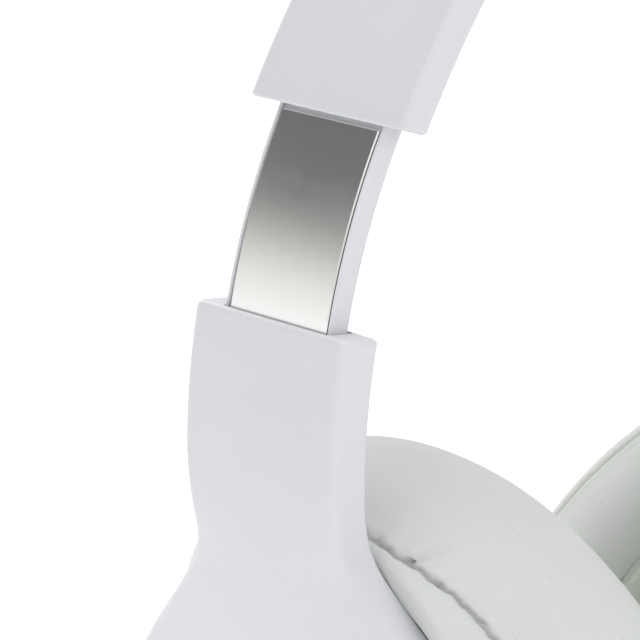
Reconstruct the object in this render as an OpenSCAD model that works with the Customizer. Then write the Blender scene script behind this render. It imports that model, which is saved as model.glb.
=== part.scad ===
// Over ear headphones: a hollow headband with a steel spring, two arc sliders with
// inlaid metal plates, two arms that widen into the ear cup shells, and two inner cups
// that rock on side pins and carry the drivers and the ear cushions.
// Frame: X runs from the left ear (-X) to the right ear (+X), Y is front to back with the
// wearer facing +Y, Z is up. The origin is on the underside of the headband pad, at its middle.

/* [Overall] */
// Half width over the arms, measured where the left arm's lower part starts
half_width = 68.8; // [66:0.2:71]
// Lean of the arm from vertical at that point, in degrees
arm_lean = 8; // [7:0.5:9]

/* [Slider] */
// Radius of the arc that the slider and the arm follow, at the outer face
slide_r = 78; // [76:0.5:82]
// Width of the slider
slider_w = 15.6; // [13:0.2:16]
// Thickness of the slider with its metal plate
slider_t = 3.3; // [3.1:0.1:3.4]
// Depth of the slider's face below the arm's outer face
slider_set = 1.2; // [1.1:0.1:1.3]
// Length of slider that shows when it is fully out
slider_show = 23.8; // [20:0.2:25]
// Length of slider that stays in the arm when it is fully out
slider_keep = 8; // [7:0.5:8.5]
// Play between the slider and its channel, each side
slider_play = 0.3; // [0.25:0.05:0.3]

/* [Arm and shell] */
// Width of the arm
arm_w = 23.1; // [22:0.1:24]
// Thickness of the arm
arm_t = 5.4; // [5.3:0.1:5.8]
// Length of the arm above the point where its lean is measured
arm_up = 18.1; // [17:0.1:20]
// Widest half width of the ear cup shell
shell_a = 39.4; // [38.6:0.2:41]
// Height that the outer face crowns over its edges
crown = 4.5; // [3.5:0.25:5]
// Wall of the ear cup shell
wall = 2; // [1.8:0.1:2.2]

/* [Ear cup] */
// Backward lean of the ear cushion's face from vertical, in degrees
cup_lean = 21.6; // [21:0.1:22]
// Half width of the ear cushion
pad_a = 43; // [41:0.5:44]
// Half width of the ear cushion's back on its front side
front_a = 38;
// Half height of the ear cushion
pad_b = 50; // [49:0.5:51]
// Thickness of the ear cushion
pad_t = 25; // [22:0.5:25.5]
// Half width of the ear opening in the cushion
hole_a = 25; // [24.5:0.5:27]
// Half height of the ear opening in the cushion
hole_b = 31; // [30:0.5:33]
// Diameter of the driver
driver_d = 40; // [36:1:40]
// Radius of the jack socket's bore, for a 3.5 mm plug
jack_r = 1.8; // [1.75:0.05:1.85]

/* [Headband] */
// Width of the headband
band_w = 23.4; // [22:0.2:26]
// Thickness of the headband
band_t = 4; // [3.8:0.1:4.4]
// Thickness of the headband pad
head_pad_t = 8; // [6:0.5:8]

/* [Hidden] */
$fn = 64;
white = [0.90, 0.91, 0.93];
pale = [0.82, 0.84, 0.81];
metal = [0.72, 0.72, 0.70];
dark = [0.16, 0.16, 0.17];

deg = 180 / PI;
function ss(t) = let (c = min(1, max(0, t))) c * c * (3 - 2 * c);

// The centre line of the outer face. l is the distance along it, 0 at the widest arm point, positive upward.
a0 = -arm_lean;
l_end = arm_up + slider_show;                     // lower end of the headband
e_end = a0 + l_end / slide_r * deg;               // lean there
r1 = 122;                                         // the straighter part above the end
e1 = e_end + 14 / r1 * deg;
r2 = (half_width - slide_r * (cos(a0) - cos(e_end)) - r1 * (cos(e_end) - cos(e1))) / cos(e1); // the crown of the headband
// height of the l = 0 point below the underside of the headband pad
drop = slide_r * (sin(e_end) - sin(a0)) + r1 * (sin(e1) - sin(e_end)) + r2 * (1 - sin(e1)) - band_t - head_pad_t;
p0 = [-half_width, -drop];
cs = p0 + slide_r * [cos(a0), -sin(a0)];        // centre of the slider's arc
r3 = 165;                                        // radius of the arm below l = 0
a3 = -17;                                        // lean of the shell
l3 = -(a0 - a3) / deg * r3;                      // where the shell's straight part starts
c3 = p0 + r3 * [cos(a0), -sin(a0)];
p3 = c3 + r3 * [-cos(a3), sin(a3)];
function lean(l) = l >= 0 ? a0 + l / slide_r * deg : l >= l3 ? a0 + l / r3 * deg : a3;
function path(l) = let (a = lean(l)) l >= 0 ? cs + slide_r * [-cos(a), sin(a)]
    : l >= l3 ? c3 + r3 * [-cos(a), sin(a)] : p3 + (l - l3) * [sin(a3), cos(a3)];
function at(l, y, d) = let (a = lean(l), p = path(l)) [p[0] + d * cos(a), y, p[1] - d * sin(a)];

// The ear cushion's frame: its back plane's centre, tilted by cup_lean
back = [-43.9, 52.3 - drop - 104.6];             // X and Z of the back plane's centre
pivot_t = -3;                                    // the pivot lies this far behind the back plane
module cup() { translate([back[0], 0, back[1]]) rotate([0, 90 - cup_lean, 0]) children(); }
// in cup(): local +Z is the inward normal, local -X is up along the cushion, Y is Y

// Sweep along a circle about the Y axis: profile x is the radius, y is Y. e is the lean angle.
module arc_band(c, e0, e1) {
    translate([c[0], 0, c[1]]) rotate([90, 0, 0]) rotate([0, 0, 180 - e1])
        rotate_extrude(angle = e1 - e0, $fn = 180) children();
}
module rrect(x0, x1, w, r) {                      // rounded bar section, x0 to x1, w wide
    translate([x0, -w / 2]) polygon([for (k = [0:3]) let (cx = [x1 - x0 - r, r, r, x1 - x0 - r][k], cy = [w - r, w - r, r, r][k])
        for (a = [0:30:90]) [cx + r * cos(a + k * 90), cy + r * sin(a + k * 90)]]);
}
module ellipse_plate(a, b, h) {                   // in cup(): b along X, a along Y
    linear_extrude(h) polygon([for (t = [0:5:355]) [b * cos(t), a * sin(t)]]);
}
module sides(s) { if (s < 0) children(); else mirror([1, 0, 0]) children(); }

// ---- headband ----
p_end = path(l_end);
c1 = p_end + r1 * [cos(e_end), -sin(e_end)];
p1 = c1 + r1 * [-cos(e1), sin(e1)];
c2 = [0, p1[1] - r2 * sin(e1)];
top_z = c2[1] + r2;                               // outer face at the crown
// the headband's line: k runs from -1 at the left end to 1 at the right end
side_es = [e_end, e_end + 0.75, e_end + 2.4, e_end + 4.4, e1];
crown_es = [for (i = [1:23]) e1 + (180 - 2 * e1) * i / 24];
function on_side(e, d) = [c1[0] - (r1 - d) * cos(e), c1[1] + (r1 - d) * sin(e)];
function on_crown(e, d) = [c2[0] - (r2 - d) * cos(e), c2[1] + (r2 - d) * sin(e)];
function flip(p) = [-p[0], p[1]];
// points along the headband at depth d, from the left end to the right end; cut shortens both ends, in degrees
function band_line(d, cut) = let (es = concat([e_end + cut], [for (e = side_es) if (e > e_end + cut + 0.3) e]), n = len(es))
    concat([for (e = es) on_side(e, d)], [for (e = crown_es) on_crown(e, d)], [for (i = [n - 1:-1:0]) flip(on_side(es[i], d))]);
module strip(d0, d1, w, cut) {                    // a flat strip bent along the headband
    a = band_line(d0, cut);
    b = band_line(d1, cut);
    n = len(a);
    translate([0, w / 2, 0]) rotate([90, 0, 0]) linear_extrude(w) polygon(concat(a, [for (i = [n - 1:-1:0]) b[i]]));
}
// the headband's section at one place: a channel, open to the inside, solid at the ends
function band_section(open) = let (w = band_w / 2, t = band_t, i = w - 1.6, f = open ? 1.4 : t - 0.02)
    [[-w + 1.1, 0], [w - 1.1, 0], [w - 0.32, 0.32], [w, 1.1], [w, t - 0.5], [w - 0.5, t], [i, t], [i - 0.1, f], [-i + 0.1, f], [-i, t], [-w + 0.5, t], [-w, t - 0.5], [-w, 1.1], [-w + 0.32, 0.32]];
module headband_outer() {
    side = concat([[e_end, 0], [e_end + 0.74, 0], [e_end + 0.76, 1]], [for (e = side_es) if (e > e_end + 1) [e, 1]]);
    left = [for (q = side) [for (p = band_section(q[1] == 1)) let (o = on_side(q[0], p[1])) [o[0], p[0], o[1]]]];
    top = [for (e = crown_es) [for (p = band_section(true)) let (o = on_crown(e, p[1])) [o[0], p[0], o[1]]]];
    right = [for (k = [len(left) - 1:-1:0]) [for (p = left[k]) [-p[0], p[1], p[2]]]];
    rings = concat(left, top, right);
    n = len(rings[0]);
    m = len(rings);
    color(white) difference() {
        polyhedron(points = [for (r = rings) each r],
            faces = concat([[for (i = [1:n]) n - 1 - i % n]], [[for (i = [0:n - 1]) (m - 1) * n + i]],
                [for (j = [0:m - 2], i = [0:n - 1], k = [0, 1]) let (i2 = (i + 1) % n, a = j * n + i, b = j * n + i2, c = a + n, d = b + n)
                    k == 0 ? [a, b, c] : [b, d, c]]), convexity = 8);
        // mouths for the sliders' tongues
        for (s = [-1, 1]) sides(s) screw_at(e_end) translate([-2.5, -5.1, 0.8]) cube([5, 10.2, 1.75]);
    }
}
screw_e = [e_end + 2.0, e_end + 5.0];
module headband_inner_cover() {
    color(white) difference() {
        strip(band_t - 0.8, band_t, band_w - 3.6, 0.9);
        for (s = [-1, 1], e = screw_e) sides(s) screw_at(e) translate([0, 0, -1]) cylinder(r = 1.1, h = 6);
    }
}
module headband_spring() {
    color(metal) difference() {
        strip(1.5, 2.2, 10, 1.3);
        for (s = [-1, 1], e = screw_e) sides(s) screw_at(e) translate([0, 0, -1]) cylinder(r = 1.1, h = 6);
    }
}
// local +Z points out of the head, from the headband's inner face
module screw_at(e) { translate([c1[0] - (r1 - band_t) * cos(e), 0, c1[1] + (r1 - band_t) * sin(e)]) rotate([0, -90 + e, 0]) children(); }
module headband_screws() {
    color(metal) for (s = [-1, 1], e = screw_e) sides(s) screw_at(e) difference() {
        union() {
            translate([0, 0, -0.3]) cylinder(r = 0.95, h = 2.6);
            translate([0, 0, -0.66]) cylinder(r = 1.7, h = 0.6);
        }
        for (k = [0, 90]) rotate([0, 0, k]) translate([-0.9, -0.2, -0.8]) cube([1.8, 0.4, 0.45]);
    }
}
pad_e = 42;                                       // the pad runs to this lean on each side
module headband_pad() {
    color(pale) arc_band(c2, pad_e, 180 - pad_e)
        rrect(r2 - band_t - head_pad_t, r2 - band_t - 0.2, band_w - 1, 2.8);
}

// ---- slider ----
s_lo = arm_up - slider_keep;                      // lower end of the slider
tongue = 7;
module left_slider() {
    x0 = slide_r - slider_set - slider_t;            // inner face
    x1 = slide_r - slider_set - 0.1;                 // top of the raised borders
    xs = slide_r - slider_set - 0.62;                // seat of the metal plate
    w = slider_w / 2;
    color(white) difference() {
        union() {
            arc_band(cs, lean(s_lo), lean(l_end - 0.35)) polygon([[x0, -w + 0.8], [x0 + 0.25, -w + 0.25], [x0 + 0.8, -w], [x1 - 0.3, -w], [x1, -w + 0.3], [x1, -w + 0.8], [xs, -w + 0.8],
                [xs, w - 0.8], [x1, w - 0.8], [x1, w - 0.3], [x1 - 0.3, w], [x0 + 0.8, w], [x0 + 0.25, w - 0.25], [x0, w - 0.8]]);
            // tongue into the headband
            arc_band(cs, lean(l_end - 2), lean(l_end + tongue)) translate([slide_r - 3, -5]) square([0.65, 10]);
        }
        // notches for the click spring, on the back edge
        for (k = [0:10]) let (l = s_lo + 4 + k * 2.4, e = lean(l)) translate([cs[0] - (slide_r - 2.9) * cos(e), slider_w / 2, cs[1] + (slide_r - 2.9) * sin(e)])
            rotate([0, -90 + e, 0]) translate([0, 0, -3]) cylinder(r = 0.45, h = 6);
        for (e = screw_e) screw_at(e) translate([0, 0, -1]) cylinder(r = 1.0, h = 6);
    }
}
module left_slider_plate() {
    color(metal) arc_band(cs, lean(arm_up - 1.2), lean(l_end - 0.45))
        translate([slide_r - slider_set - 0.6, -slider_w / 2 + 0.9]) polygon([[0, 0], [0, slider_w - 1.8], [0.35, slider_w - 1.8], [0.6, slider_w - 2.05], [0.6, 0.25], [0.35, 0]]);
}
module left_slider_stop() {
    color(dark) arc_band(cs, lean(s_lo - 1.6), lean(s_lo)) rrect(slide_r - slider_set - slider_t, slide_r - slider_set - 0.1, slider_w - 0.4, 0.4);
}

// ---- arm and outer shell, one moulding ----
l_c = -56.2;                                      // the shell's middle
l_e = -61;                                        // its widest place
h_top = 55;
h_bot = 41;
function half_w(l) = l > l_e ? let (u = (l - l_e) / h_top, q = u < 1 ? shell_a * pow(1 - u * u, 0.85) : 0)
    pow(pow(arm_w / 2, 4) * ss((l + 50) / 30) + pow(q, 4), 0.25)
    : shell_a * sqrt(max(0.012, 1 - pow((l_e - l) / h_bot, 2)));
function crown_h(l) = crown * ss((2 - l) / 32) * (l < -92 ? max(0.3, (l + 103) / 11) : 1);
function face_d(l) = l > l_e ? 0 : 4.5 * pow((l_e - l) / h_bot, 2.5);
function rim_d(l) = arm_t + 1.85 * ss((-2 - l) / 12) + 2.35 * ss((-20 - l) / 40);
// the hollow's share at l: 0 in the arm, 1 in the shell
function hollow(l) = l < -19.5 && l > -100 ? 1 : 0;
function section(l) = let (w = half_w(l), h = crown_h(l), f = face_d(l), t = rim_d(l), g = min(2.2, w * 0.3), c = hollow(l),
        iw = max(1, w - wall), fl = c > 0 ? min(t - 0.8, f + wall) : t)
    [for (k = [-4:4]) let (y = k / 4 * (w - g)) [y, f + h * pow(y / w, 2)],
     [w - g * 0.4, f + h + g * 0.1], [w, f + h + g * 0.75],
     [w, t - 0.5], [w - 0.5, t], [iw, t],
     for (k = [3:-1:-3]) let (y = k / 3 * (iw - 0.3), yy = abs(k) == 3 ? y : y * 0.97) [yy, c > 0 ? min(t - 0.6, fl + h * pow(yy / w, 2)) : t],
     [-iw, t], [-w + 0.5, t], [-w, t - 0.5],
     [-w, f + h + g * 0.75], [-w + g * 0.4, f + h + g * 0.1]];
stations = concat([arm_up, 12, 6, 2, -1, -4, -7, -10, -12.5, -15, -17.5, -19.2, -19.8, -22],
    [for (l = [-25:-4:-89]) l], [-92, -94.5, -96.5, -98.3, -99.7, -100.4, -101.4]);
module loft() {
    rings = [for (l = stations) [for (q = section(l)) at(l, q[0], q[1])]];
    n = len(rings[0]);
    m = len(rings);
    polyhedron(points = [for (r = rings) each r],
        faces = concat([[for (i = [n - 1:2 * n - 2]) i % n]], [[for (i = [n:-1:1]) (m - 1) * n + i % n]],
            [for (j = [0:m - 2], i = [0:n - 1], k = [0, 1]) let (i2 = (i + 1) % n, a = j * n + i, b = j * n + i2, c = a + n, d = b + n)
                k == 0 ? [a, c, b] : [b, c, d]]), convexity = 8);
}
jack_l = -84;
module shell_frame() { let (p = path(l_c)) translate([p[0], 0, p[1]]) rotate([0, 90 - (-a3), 0]) children(); }
// in shell_frame(): +Z inward, -X up along the shell, Y is Y
pivot_at = [back[0] + pivot_t * cos(cup_lean), back[1] + pivot_t * sin(cup_lean)];
pin_y = 30.5;
pin_r = 1.0;
module lug(s) {
    translate([pivot_at[0], s * (pin_y + 2.1), pivot_at[1]]) rotate([0, 90 + a3, 0]) translate([-2.6, -1.4, -3.4]) cube([5.2, 2.8, 5.6]);
}
module shell_body() {
    color(white) difference() {
        union() {
            loft();
            for (s = [-1, 1]) lug(s);
        }
        // channel for the slider
        arc_band(cs, a0 - 16.4 / slide_r * deg, lean(arm_up + 3)) translate([slide_r - slider_set - slider_t - slider_play, -slider_w / 2 - slider_play])
            square([slider_t + 2 * slider_play, slider_w + 2 * slider_play]);
        // seat for the arm's inner cover
        arc_band(cs, lean(-13), lean(arm_up - 1.6)) translate([slide_r - arm_t - 8, -9.6]) square([8.85, 19.2]);
        // pocket for the click spring
        arc_band(cs, lean(arm_up - 9), lean(arm_up - 2)) translate([slide_r - arm_t + 0.8, 7]) square([2.6, 3]);
        for (s = [-1, 1]) translate([pivot_at[0], s * (pin_y + 2.1), pivot_at[1]]) rotate([90, 0, 0]) translate([0, 0, -3]) cylinder(r = pin_r, h = 6);
    }
}
// the left shell also has the jack's pocket and hole
module left_arm_shell() {
    difference() {
        shell_body();
        color(white) jack_at() {
            translate([-8, -3.1, -12.6]) cube([10.3, 6.2, 12.2]);
            translate([0, 0, -2]) cylinder(r = 2.3, h = 8);
        }
    }
}
module right_arm_shell() { mirror([1, 0, 0]) shell_body(); }
module left_arm_cover() {
    color(white) arc_band(cs, lean(-12.8), lean(arm_up - 1.8)) rrect(slide_r - arm_t, slide_r - arm_t + 0.6, 18.9, 0.25);
}
module left_detent_spring() {
    color(metal) difference() {
        arc_band(cs, lean(arm_up - 8.6), lean(arm_up - 2.4)) translate([slide_r - arm_t + 1.1, 8.25]) square([2.0, 1.5]);
        arc_band(cs, lean(arm_up - 7.8), lean(arm_up - 3.2)) translate([slide_r - arm_t + 0.8, 8.55]) square([3, 3]);
    }
}
module left_pivot_pins() {
    color(metal) for (s = [-1, 1]) translate([pivot_at[0], s * (pin_y - 0.05), pivot_at[1]]) rotate([90, 0, 0]) translate([0, 0, -3.45]) cylinder(r = pin_r, h = 6.9);
}

// ---- inner cup, drawn in cup(): +Z inward from the cushion's back plane ----
module left_inner_housing() {
    color(white) cup() difference() {
        union() {
            translate([0, 0, -3.0]) ellipse_plate(30.8, 37, 1.5);
            translate([0, 0, -5.0]) ellipse_plate(24.6, 31, 2.4);
            // bosses for the pivot pins
            for (s = [-1, 1]) translate([-3, s * 27.55 - 3, -4.9]) cube([6, 6, 3.2]);
        }
        difference() {
            translate([0, 0, -4.0]) ellipse_plate(22.6, 29, 3);
            for (q = screws) translate([q[0], q[1], -4.5]) cylinder(r = 2.4, h = 5);
            translate([25.9, -5.4, -6]) cube([20, 10.8, 8]);
        }
        // recess that clears the jack socket when the cup rocks
        translate([27.4, -3.9, -6]) cube([20, 7.8, 6]);
        for (s = [-1, 1]) translate([0, s * 30, pivot_t]) rotate([90, 0, 0]) translate([0, 0, -4]) cylinder(r = pin_r + 0.05, h = 8);
        for (q = screws) translate([q[0], q[1], -4.2]) cylinder(r = 0.95, h = 5);
    }
}
screws = [[22, 12], [22, -12], [-22, 12], [-22, -12]];
module left_baffle() {
    color(dark) cup() difference() {
        union() {
            translate([0, 0, -1.4]) ellipse_plate(30.8, 37, 1.4);
            translate([0, 0, -0.1]) cylinder(r = driver_d / 2 + 3, h = 4.9);
        }
        translate([0, 0, 1.2]) cylinder(r = driver_d / 2 + 0.2, h = 5);
        translate([0, 0, -2]) cylinder(r = 14, h = 5);
        for (q = screws) translate([q[0], q[1], -2]) cylinder(r = 1.1, h = 5);
        // tuning vents beside the driver
        for (k = [0:7]) rotate([0, 0, k * 45 + 22.5]) translate([25.5, 0, -2]) cylinder(r = 1.2, h = 3);
    }
}
module left_baffle_screws() {
    color(metal) cup() for (q = screws) translate([q[0], q[1], 0]) difference() {
        union() {
            translate([0, 0, -3.8]) cylinder(r = 0.93, h = 3.8);
            cylinder(r = 1.9, h = 1.0);
        }
        for (k = [0, 90]) rotate([0, 0, k]) translate([-1, -0.22, 0.6]) cube([2, 0.44, 1]);
    }
}
module left_driver_frame() {
    color(dark) cup() difference() {
        union() {
            translate([0, 0, 1.4]) cylinder(r = driver_d / 2, h = 3.2);
        }
        translate([0, 0, 2.6]) cylinder(r = driver_d / 2 - 2, h = 4);
        translate([0, 0, 0]) cylinder(r = 12.1, h = 4);
        for (k = [0:5]) rotate([0, 0, k * 60]) translate([15, 0, 0]) cylinder(r = 1.5, h = 4);
    }
}
module left_driver_magnet() {
    color(metal) cup() translate([0, 0, -3.4]) cylinder(r = 12, h = 5.4);
}
module left_driver_diaphragm() {
    color([0.75, 0.72, 0.6]) cup() translate([0, 0, 2.75]) rotate_extrude()
        polygon([[0, 1.35], [3, 1.2], [6, 0.7], [7.5, 0.15], [9, 0.5], [13, 0.55], [17, 0.1], [17.9, 0.1], [17.9, 0], [17, 0], [13, 0.42], [9, 0.36], [7.5, 0], [6, 0.55], [3, 1.05], [0, 1.2]]);
}
module left_driver_grille() {
    color(dark) cup() difference() {
        translate([0, 0, 4.85]) cylinder(r = driver_d / 2 + 2.6, h = 0.9);
        translate([0, 0, 4]) cylinder(r = 1, h = 3);
        for (n = [1:3], k = [0:n * 6 - 1]) rotate([0, 0, k * 60 / n]) translate([n * 5, 0, 4]) cylinder(r = 1, h = 3);
    }
}
module left_terminal_board() {
    color([0.1, 0.35, 0.2]) cup() translate([-19.5, 0, -3.9]) translate([-3, -6, 0]) cube([6, 12, 1]);
}
module left_cushion_ring() {
    color(dark) cup() difference() {
        union() {
            translate([0, 0, 0.02]) ellipse_plate(30.8, 36.5, 1);
            translate([0, 0, 0.9]) ellipse_plate(front_a - 3.4, pad_b - 7.5, 0.6);
            intersection() {
                translate([0, 0, 0.9]) ellipse_plate(pad_a - 3.4, pad_b - 7.5, 0.6);
                translate([-60, -60, 0]) cube([120, 60, 3]);
            }
        }
        translate([0, 0, -1]) ellipse_plate(hole_a + 1.2, hole_b + 1.2, 4);
    }
}
module left_cushion_screen() {
    color([0.55, 0.57, 0.54]) cup() translate([0, 0, 6.4]) ellipse_plate(hole_a - 0.4, hole_b - 0.4, 0.8);
}
// the cushion: an oval ring with a rounded section, drawn in towards its back on the front side
function cushion_y(t) = sin(t) > 0 ? front_a * pow(max(0, 1 - pow(abs(cos(t)), 1.8)), 1 / 1.8) : pad_a * sin(t);
module left_ear_cushion() {
    n = 48;
    z0 = 1.7;
    sec = [for (a = [0:30:330]) a];
    color(pale) cup() polyhedron(
        points = [for (i = [0:n - 1]) let (t = i * 360 / n) for (a = sec)
            let (ob = (pad_b + hole_b) / 2, hb = (pad_b - hole_b) / 2, yi = hole_a * sin(t),
                cc = sign(cos(a)) * pow(abs(cos(a)), 0.65), sc = sign(sin(a)) * pow(abs(sin(a)), 0.65),
                k = min(1, 1.1 * (1 + sc)), yo = (1 - k) * cushion_y(t) + k * pad_a * sin(t))
            [(ob + hb * cc) * cos(t), (yo + yi) / 2 + (yo - yi) / 2 * cc, z0 + (pad_t - z0) / 2 * (1 + sc)]],
        faces = [for (i = [0:n - 1], j = [0:11], k = [0, 1]) let (i2 = (i + 1) % n, j2 = (j + 1) % 12, p = i * 12 + j, q = i * 12 + j2, r = i2 * 12 + j, s = i2 * 12 + j2)
            k == 0 ? [p, q, r] : [q, s, r]], convexity = 6);
}
// ---- jack socket in the left shell's lower edge ----
module jack_at() { let (p = at(-99.5, 0, 6.6)) translate(p) rotate([0, 180 + a3, 0]) children(); }
module jack_socket() {
    color(dark) jack_at() difference() {
        union() {
            translate([-2.2, -3, -12.5]) cube([4.4, 6, 12]);
            translate([0, 0, -1]) cylinder(r = 2.2, h = 2.9);
        }
        translate([0, 0, -11.5]) cylinder(r = jack_r, h = 20);
    }
}

module right_slider() { mirror([1, 0, 0]) left_slider(); }
module right_slider_plate() { mirror([1, 0, 0]) left_slider_plate(); }
module right_slider_stop() { mirror([1, 0, 0]) left_slider_stop(); }
module right_arm_cover() { mirror([1, 0, 0]) left_arm_cover(); }
module right_detent_spring() { mirror([1, 0, 0]) left_detent_spring(); }
module right_pivot_pins() { mirror([1, 0, 0]) left_pivot_pins(); }
module right_inner_housing() { mirror([1, 0, 0]) left_inner_housing(); }
module right_baffle() { mirror([1, 0, 0]) left_baffle(); }
module right_baffle_screws() { mirror([1, 0, 0]) left_baffle_screws(); }
module right_driver_frame() { mirror([1, 0, 0]) left_driver_frame(); }
module right_driver_magnet() { mirror([1, 0, 0]) left_driver_magnet(); }
module right_driver_diaphragm() { mirror([1, 0, 0]) left_driver_diaphragm(); }
module right_driver_grille() { mirror([1, 0, 0]) left_driver_grille(); }
module right_terminal_board() { mirror([1, 0, 0]) left_terminal_board(); }
module right_cushion_ring() { mirror([1, 0, 0]) left_cushion_ring(); }
module right_cushion_screen() { mirror([1, 0, 0]) left_cushion_screen(); }
module right_ear_cushion() { mirror([1, 0, 0]) left_ear_cushion(); }

headband_outer();
headband_inner_cover();
headband_spring();
headband_pad();
headband_screws();
left_slider();
right_slider();
left_slider_plate();
right_slider_plate();
left_slider_stop();
right_slider_stop();
left_arm_shell();
right_arm_shell();
left_arm_cover();
right_arm_cover();
left_detent_spring();
right_detent_spring();
left_pivot_pins();
right_pivot_pins();
left_inner_housing();
right_inner_housing();
left_baffle();
right_baffle();
left_baffle_screws();
right_baffle_screws();
left_driver_frame();
right_driver_frame();
left_driver_magnet();
right_driver_magnet();
left_driver_diaphragm();
right_driver_diaphragm();
left_driver_grille();
right_driver_grille();
left_terminal_board();
right_terminal_board();
left_cushion_ring();
right_cushion_ring();
left_cushion_screen();
right_cushion_screen();
left_ear_cushion();
right_ear_cushion();
jack_socket();
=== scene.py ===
# Over ear headphones: the looks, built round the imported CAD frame. Lengths are worked in millimetres
# and turned into metres as each mesh is made.
import bpy
import math
import numpy as np
from mathutils import Vector, Matrix


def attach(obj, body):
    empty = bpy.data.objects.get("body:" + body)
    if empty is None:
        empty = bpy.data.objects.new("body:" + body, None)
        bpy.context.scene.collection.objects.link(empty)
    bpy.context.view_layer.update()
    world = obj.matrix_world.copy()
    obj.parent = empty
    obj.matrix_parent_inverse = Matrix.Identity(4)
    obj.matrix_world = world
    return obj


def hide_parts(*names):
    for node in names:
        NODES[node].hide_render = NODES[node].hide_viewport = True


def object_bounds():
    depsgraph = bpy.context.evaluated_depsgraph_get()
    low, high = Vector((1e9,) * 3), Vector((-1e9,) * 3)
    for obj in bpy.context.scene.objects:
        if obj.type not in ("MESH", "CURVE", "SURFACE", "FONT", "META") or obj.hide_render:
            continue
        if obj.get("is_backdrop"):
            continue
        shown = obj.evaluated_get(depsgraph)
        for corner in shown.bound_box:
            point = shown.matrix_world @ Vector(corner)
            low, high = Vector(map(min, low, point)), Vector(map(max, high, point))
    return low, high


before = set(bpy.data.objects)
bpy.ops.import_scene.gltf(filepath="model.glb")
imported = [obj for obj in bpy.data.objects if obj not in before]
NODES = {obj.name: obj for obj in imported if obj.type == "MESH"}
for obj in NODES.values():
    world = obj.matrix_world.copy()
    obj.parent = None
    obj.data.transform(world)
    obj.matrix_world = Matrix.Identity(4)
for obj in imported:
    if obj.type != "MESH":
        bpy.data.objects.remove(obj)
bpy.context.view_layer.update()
MM = 0.001
rng = np.random.default_rng(7)
rad = math.radians

# ------------------------------------------------------------------ the design's lines, as in part.scad
HALF_W, SL_R, ARM_LEAN = 68.8, 78.0, 8.0
SL_SET, SL_T, SL_W = 1.2, 3.45, 15.95
ARM_W, ARM_T, ARM_UP, SHOW, KEEP = 23.1, 5.4, 18.1, 23.8, 8.0
SHELL_A, CROWN, WALL = 39.4, 4.5, 2.0
BAND_W, BAND_T, PAD_T = 23.4, 4.0, 8.0
A0 = -ARM_LEAN
L_END = ARM_UP + SHOW
E_END = A0 + math.degrees(L_END / SL_R)
R1 = 122.0
E1 = E_END + math.degrees(14 / R1)
co, si = lambda a: math.cos(rad(a)), lambda a: math.sin(rad(a))
R2 = (HALF_W - SL_R * (co(A0) - co(E_END)) - R1 * (co(E_END) - co(E1))) / co(E1)
DROP = SL_R * (si(E_END) - si(A0)) + R1 * (si(E1) - si(E_END)) + R2 * (1 - si(E1)) - BAND_T - PAD_T
P0 = np.array([-HALF_W, -DROP])
CS = P0 + SL_R * np.array([co(A0), -si(A0)])
R3, A3 = 165.0, -17.0
L3 = -rad(A0 - A3) * R3
C3 = P0 + R3 * np.array([co(A0), -si(A0)])
P3 = C3 + R3 * np.array([-co(A3), si(A3)])
P_END = CS + SL_R * np.array([-co(E_END), si(E_END)])
C1 = P_END + R1 * np.array([co(E_END), -si(E_END)])
P1 = C1 + R1 * np.array([-co(E1), si(E1)])
C2 = np.array([0.0, P1[1] - R2 * si(E1)])
L_C, L_E, H_TOP, H_BOT = -56.2, -61.0, 55.0, 41.0
CUP_LEAN = 21.6
BACK = np.array([-43.9, 52.3 - DROP - 104.6])


def ss(t):
    t = np.clip(t, 0, 1)
    return t * t * (3 - 2 * t)


def lean(l):
    return A0 + math.degrees(l / SL_R) if l >= 0 else (A0 + math.degrees(l / R3) if l >= L3 else A3)


def path(l):
    a = lean(l)
    if l >= 0:
        return CS + SL_R * np.array([-co(a), si(a)])
    if l >= L3:
        return C3 + R3 * np.array([-co(a), si(a)])
    return P3 + (l - L3) * np.array([si(A3), co(A3)])


def at(l, y, d):
    a, p = lean(l), path(l)
    return (p[0] + d * co(a), y, p[1] - d * si(a))


def on_slide(l, y, d):  # the slider's own arc, also below l = 0
    a = A0 + math.degrees(l / SL_R)
    return (CS[0] - (SL_R - d) * co(a), y, CS[1] + (SL_R - d) * si(a))


def on_band(e, y, d):  # e from E_END to 90 on the left half
    c, r = (C1, R1) if e <= E1 else (C2, R2)
    return (c[0] - (r - d) * co(e), y, c[1] + (r - d) * si(e))


def cup_all(p):
    s, c = si(CUP_LEAN), co(CUP_LEAN)
    return np.stack([BACK[0] + p[..., 0] * s + p[..., 2] * c, p[..., 1], BACK[1] - p[..., 0] * c + p[..., 2] * s], -1)


def cup(x, y, z):  # the left cup's own frame: x down along it, z inward
    s, c = si(CUP_LEAN), co(CUP_LEAN)
    return (BACK[0] + x * s + z * c, y, BACK[1] - x * c + z * s)


def half_w(l):
    if l > L_E:
        u = (l - L_E) / H_TOP
        q = SHELL_A * (1 - u * u) ** 0.85 if u < 1 else 0.0
        return ((ARM_W / 2) ** 4 * float(ss((l + 50) / 30)) + q ** 4) ** 0.25
    return SHELL_A * math.sqrt(max(0.0004, 1 - ((L_E - l) / H_BOT) ** 2))


def crown_h(l):
    return CROWN * float(ss((2 - l) / 32)) * (max(0.3, (l + 103) / 11) if l < -92 else 1)


def face_d(l):
    return 0.0 if l > L_E else 4.5 * ((L_E - l) / H_BOT) ** 2.5


def rim_d(l):
    return ARM_T + 1.85 * float(ss((-2 - l) / 12)) + 2.35 * float(ss((-20 - l) / 40))


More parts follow.
